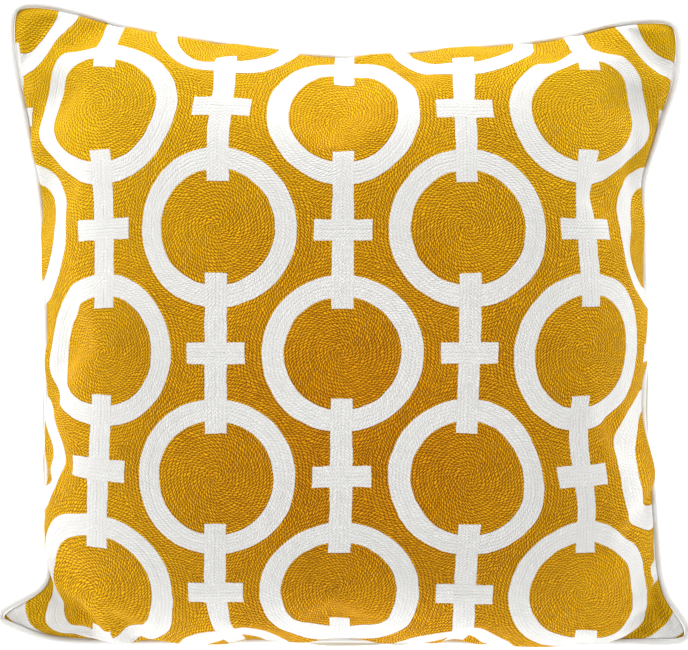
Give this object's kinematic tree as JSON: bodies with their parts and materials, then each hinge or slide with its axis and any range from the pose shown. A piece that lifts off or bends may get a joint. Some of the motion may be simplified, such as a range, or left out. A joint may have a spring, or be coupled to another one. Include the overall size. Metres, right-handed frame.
{
  "type": "throw cushion",
  "caption": "Square filled throw cushion with crowned faces, drawn-in sides, pointed corner ears and a corded piping in the seam; one face carries a ring-and-bar lattice in chain stitch.",
  "frame": {"origin": "on the surface that the cushion lies on, under the middle of its box", "axes": "+Z out of the embroidered face, +Y towards its top edge, +X to the right of the face"},
  "size_m": [0.499, 0.4638, 0.16],
  "materials": {
    "embroidery": "matte chain-stitched yarn, mustard yellow with off-white rings and bars",
    "piping_cloth": "matte plain-woven off-white cotton round a cord"
  },
  "bodies": {
    "root": {"filled_cover": "embroidery", "piping": "piping_cloth"}
  },
  "joints": []
}
